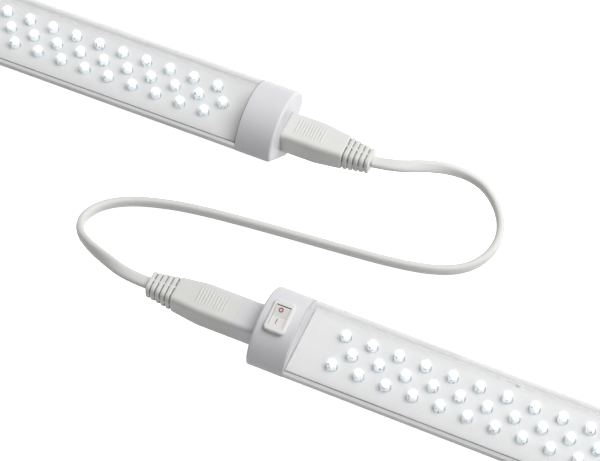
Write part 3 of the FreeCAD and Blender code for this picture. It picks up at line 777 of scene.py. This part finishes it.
def cut(piece, cutter):
    """Takes the cutter's volume out of the piece for good."""
    modifier = piece.modifiers.new("cut", "BOOLEAN")
    modifier.object = cutter
    modifier.operation = "DIFFERENCE"
    modifier.solver = "EXACT"
    shown = bpy.context.evaluated_depsgraph_get()
    mesh = bpy.data.meshes.new_from_object(piece.evaluated_get(shown))
    piece.modifiers.clear()
    old = piece.data
    piece.data = mesh
    bpy.data.meshes.remove(old)
    bpy.data.objects.remove(cutter)
    mesh.shade_smooth()
    mesh.set_sharp_from_angle(angle=math.radians(40))


def socket_holes(end, nose_length):
    """The two round holes in the connector's nose, as one cutter."""
    parts = []
    segments = 24
    for side in (-1, 1):
        rings = []
        for x in (-nose_length - 1 * MM, SOCKET_END):
            flats = []
            for i in range(segments):
                turn = 2 * math.pi * i / segments
                y = side * SOCKET_Y + SOCKET_RADIUS * math.cos(turn)
                flats.append((y, SOCKET_RADIUS * math.sin(turn)))
            rings.append(end.ring(x, flats))
        parts.append(loft(rings))
    return link("holes", mesh_of("holes", parts))


def relief_ring(end, x, size, inset):
    """One ring of a strain relief, set in from the fins' outline apart from the four bridges."""
    width, height = size
    rings = []
    for depth in (min(inset, BRIDGE_DEPTH), inset):
        rings.append(rounded_ring(width - 2 * depth, height - 2 * depth, FIN_CORNER - 0.5 * depth))
    flats = []
    for near, deep in zip(*rings):
        off_middle = min(abs(near.x), abs(near.y))
        share = smooth_step((off_middle - BRIDGE_HALF) / BRIDGE_SOFT)
        flats.append(near.lerp(deep, share))
    return end.ring(x, flats)


def relief_size(share):
    width = FIN_FIRST[0] + (FIN_LAST[0] - FIN_FIRST[0]) * share
    height = FIN_FIRST[1] + (FIN_LAST[1] - FIN_FIRST[1]) * share
    return width, height


def strain_relief(name, node, end, material):
    """Five rounded fins on a core, each slot crossed by four small bridges."""
    rings = []
    first = relief_size(0.0)
    rings.append(relief_ring(end, GRIP_LENGTH - 0.1 * MM, first, SLOT_DEPTH))
    for index in range(FIN_COUNT):
        share = index / (FIN_COUNT - 1)
        size = relief_size(share)
        start = GRIP_LENGTH + FIN_SLOT + index * FIN_PITCH
        length = FIN_PITCH - FIN_SLOT
        rings.append(relief_ring(end, start - 0.02 * MM, size, SLOT_DEPTH))
        steps = 5
        for step in range(steps + 1):
            turn = math.pi / 2 * step / steps
            x = start + FIN_ROUND * (1 - math.cos(turn))
            rings.append(relief_ring(end, x, size, FIN_ROUND * (1 - math.sin(turn))))
        for step in range(steps + 1):
            turn = math.pi / 2 * (1 - step / steps)
            x = start + length - FIN_ROUND * (1 - math.cos(turn))
            rings.append(relief_ring(end, x, size, FIN_ROUND * (1 - math.sin(turn))))
        if index < FIN_COUNT - 1:
            rings.append(relief_ring(end, start + length + 0.02 * MM, size, SLOT_DEPTH))
    tip = GRIP_LENGTH + RELIEF_LENGTH
    for x, width, height in ((tip - 0.15 * MM, 6.6 * MM, 4.8 * MM), (tip, 6.2 * MM, 4.4 * MM)):
        rings.append(end.ring(x, rounded_ring(width, height, 2.0 * MM)))
    piece = make_piece(name, [loft(rings)], material, sharp=50)
    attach(piece, "link_lead")
    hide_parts(node)
    return piece


def grip(name, node, end, nose, material, with_sockets):
    piece = make_piece(name, [loft(grip_rings(end, nose))], material, sharp=50)
    if with_sockets:
        cut(piece, socket_holes(end, nose[0]))
    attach(piece, "link_lead")
    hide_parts(node)
    return piece


def route_points():
    """The points of the cord's smooth line, read from its NURBS spline."""
    data = bpy.data.curves.new("cord_route", "CURVE")
    data.dimensions = "3D"
    data.resolution_u = 16
    spline = data.splines.new("NURBS")
    spline.points.add(len(CORD_ROUTE) - 1)
    for point, place in zip(spline.points, CORD_ROUTE):
        point.co = (*place, 1.0)
    spline.order_u = 3
    spline.use_endpoint_u = True
    guide = link("cord_route", data)
    bpy.context.view_layer.update()
    mesh = bpy.data.meshes.new_from_object(guide)
    points = [vertex.co.copy() for vertex in mesh.vertices]
    bpy.data.objects.remove(guide)
    bpy.data.curves.remove(data)
    bpy.data.meshes.remove(mesh)
    return points


def cord_section():
    """The flat cord's section: a rounded oblong, wide along its first axis."""
    flats = []
    for i in range(CORD_SECTION_POINTS):
        turn = 2 * math.pi * i / CORD_SECTION_POINTS
        power = 2 / CORD_SECTION_POWER
        across = math.copysign(abs(math.cos(turn)) ** power, math.cos(turn))
        up = math.copysign(abs(math.sin(turn)) ** power, math.sin(turn))
        flats.append((across * CORD_WIDTH / 2, up * CORD_THICKNESS / 2))
    return flats


def link_cord(material):
    """The flat cord, swept along its route and turned on edge between its ends."""
    points = route_points()
    lengths = [0.0]
    for before, after in zip(points, points[1:]):
        lengths.append(lengths[-1] + (after - before).length)
    total = lengths[-1]
    section = cord_section()
    rings = []
    for index, point in enumerate(points):
        before = points[max(index - 1, 0)]
        after = points[min(index + 1, len(points) - 1)]
        along = (after - before).normalized()
        side = Vector((0, 0, 1)).cross(along).normalized()
        up = along.cross(side)
        from_end = min(lengths[index], total - lengths[index])
        turn = math.pi / 2 * smooth_step(from_end / CORD_TWIST_LENGTH)
        wide = side * math.cos(turn) + up * math.sin(turn)
        thin = along.cross(wide)
        rings.append([point + wide * y + thin * z for y, z in section])
    cord = make_piece("flat_cord", [loft(rings)], material, sharp=60)
    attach(cord, "link_lead")
    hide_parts("link_cord")


def make_lead(materials):
    plug_end, connector_end = lead_ends()
    pvc = materials["lead_pvc"]
    pieces = [
        grip("plug_grip", "plug_body", plug_end, PLUG_NOSE, pvc, False),
        strain_relief("plug_relief", "plug_strain_relief", plug_end, pvc),
        grip("connector_grip", "connector_body", connector_end, CONNECTOR_NOSE, pvc, True),
        strain_relief("connector_relief", "connector_strain_relief", connector_end, pvc),
        NODES["plug_pins"],
        NODES["connector_contacts"],
    ]
    link_cord(materials["cord_pvc"])


# LEDs


def tube_start(tube):
    """The middle of a tube's inlet end face, on the floor."""
    low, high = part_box("inlet_cap_" + tube)
    return Vector((low.x, (low.y + high.y) / 2, 0))


def led_places(tube):
    """Where each LED stands: two outer rows, and a middle row half a pitch further on."""
    start = tube_start(tube)
    places = []
    for column in range(LED_COLUMNS):
        x = LED_FIRST_X + column * LED_PITCH
        places.append(start + Vector((x, LED_ROW_Y, 0)))
        places.append(start + Vector((x + LED_PITCH / 2, 0, 0)))
        places.append(start + Vector((x, -LED_ROW_Y, 0)))
    return places


def bullet(radius, base_z, tip_z, steps=7):
    """The profile of a round-nosed upright body."""
    shoulder = tip_z - radius
    profile = [(0, base_z), (radius, base_z), (radius, shoulder)]
    for step in range(1, steps):
        turn = math.pi / 2 * step / steps
        profile.append((radius * math.cos(turn), shoulder + radius * math.sin(turn)))
    profile.append((0, tip_z))
    return profile


def core_profile(base_z):
    """The LED's inside, with enough rings to carry the lit cup's edge."""
    tip = LED_TIP_Z - LED_CORE_TOP
    profile = bullet(LED_CORE_RADIUS, base_z, tip, steps=9)
    low, high = profile[1][1], profile[2][1]
    steps = 12
    wall = [(LED_CORE_RADIUS, low + (high - low) * step / steps) for step in range(1, steps)]
    return profile[:2] + wall + profile[2:]


def lit_share(offset):
    """How lit the LED's inside is at an offset from its foot: its edge dips at four points."""
    turn = math.atan2(offset.y, offset.x)
    edge = LED_TIP_Z - LIT_EDGE
    edge += LIT_SCALLOP * abs(math.sin(2 * (turn - math.radians(LIT_SCALLOP_TURN))))
    edge -= LIT_LEAN * math.cos(turn - math.radians(LIT_LEAN_TURN))
    return smooth_step((offset.z - edge) / LIT_SOFT + 0.5)


def light_up(piece, places):
    """Stores on the LEDs' insides how lit each point is."""
    mesh = piece.data
    count = len(mesh.vertices) // len(places)
    lit = mesh.attributes.new("lit", "FLOAT", "POINT")
    for index, vertex in enumerate(mesh.vertices):
        lit.data[index].value = lit_share(vertex.co - places[index // count])


def make_leds(materials):
    for tube in TUBES:
        board_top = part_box("led_board_" + tube)[1].z
        places = led_places(tube)
        dome = bullet(LED_RADIUS, board_top + 0.2 * MM, LED_TIP_Z)
        top = board_top + LED_FLANGE_HEIGHT
        flange = [(0, board_top), (LED_FLANGE_RADIUS, board_top), (LED_FLANGE_RADIUS, top), (0, top)]
        domes = [lathe(dome, LED_SEGMENTS, place) for place in places]
        domes += [lathe(flange, LED_SEGMENTS, place) for place in places]
        piece = make_piece("led_domes_" + tube, domes, materials["led_dome"], sharp=60)
        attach(piece, "tube_" + tube)
        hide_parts("leds_" + tube)
        cores = [lathe(core_profile(board_top + 1.2 * MM), LED_SEGMENTS, place) for place in places]
        piece = make_piece("led_cores_" + tube, cores, materials["led_core"], sharp=60)
        light_up(piece, places)
        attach(piece, "tube_" + tube)


# Switch marks


def top_of(node, x, y):
    """The highest point of a CAD node at x and y, and its normal there."""
    mesh = NODES[node].data
    tree = BVHTree.FromPolygons([v.co for v in mesh.vertices], [p.vertices for p in mesh.polygons])
    point, normal, _, _ = tree.ray_cast(Vector((x, y, 0.1)), Vector((0, 0, -1)))
    return point, normal


def on_facet(point, normal, flats, rise):
    """Flat points (x, y) laid on a facet, raised by rise."""
    across = Vector((1, 0, 0))
    up = normal.cross(across)
    return [point + across * x + up * y + normal * rise for x, y in flats]


def ring_mark(point, normal):
    """A printed ring: a thin flat annulus with all its four sides."""
    steps = 32
    inner, outer = RING_RADII
    rings = []
    for step in range(steps):
        turn = 2 * math.pi * step / steps
        way = Vector((math.cos(turn), math.sin(turn)))
        low = on_facet(point, normal, [way * inner, way * outer], -MARK_HEIGHT)
        high = on_facet(point, normal, [way * outer, way * inner], MARK_HEIGHT)
        rings.append(low + high)
    points = [corner for ring in rings for corner in ring]
    faces = []
    for step in range(steps):
        near = step * 4
        far = ((step + 1) % steps) * 4
        for i in range(4):
            j = (i + 1) % 4
            faces.append((near + i, near + j, far + j, far + i))
    return points, faces


def bar_mark(point, normal):
    """A printed bar with round ends."""
    width, length = BAR_SIZE
    flats = []
    steps = 8
    for side in (1, -1):
        for step in range(steps + 1):
            turn = math.pi * step / steps
            x = math.cos(turn) * width / 2 * side
            y = (math.sin(turn) * width / 2 + (length - width) / 2) * side
            flats.append((x, y))
    return loft([on_facet(point, normal, flats, rise) for rise in (-MARK_HEIGHT, MARK_HEIGHT)])


def make_marks(materials):
    """The ring on the rocker's far half and the bar on its near half."""
    for tube in TUBES:
        node = "switch_rocker_" + tube
        low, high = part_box("switch_bezel_" + tube)
        x = (low.x + high.x) / 2 + MARK_SHIFT
        y = (low.y + high.y) / 2
        ring = ring_mark(*top_of(node, x, y + MARK_SPACING))
        bar = bar_mark(*top_of(node, x, y - MARK_SPACING))
        piece = make_piece("switch_marks_" + tube, [ring, bar], materials["mark_red"])
        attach(piece, "rocker_" + tube)


def main():
    materials = make_materials()
    make_camera()
    make_floor(floor_finish())
    make_world()
    area_light("overhead", azimuth=122, elevation=62, distance=1.7, size=1.0, power=22.5)
    area_light("right", azimuth=96, elevation=8, distance=1.3, size=0.6, power=6.0)
    finish_nodes(materials)
    make_lead(materials)
    make_leds(materials)
    make_marks(materials)
    scene = bpy.context.scene
    scene.view_settings.view_transform = "Standard"


main()
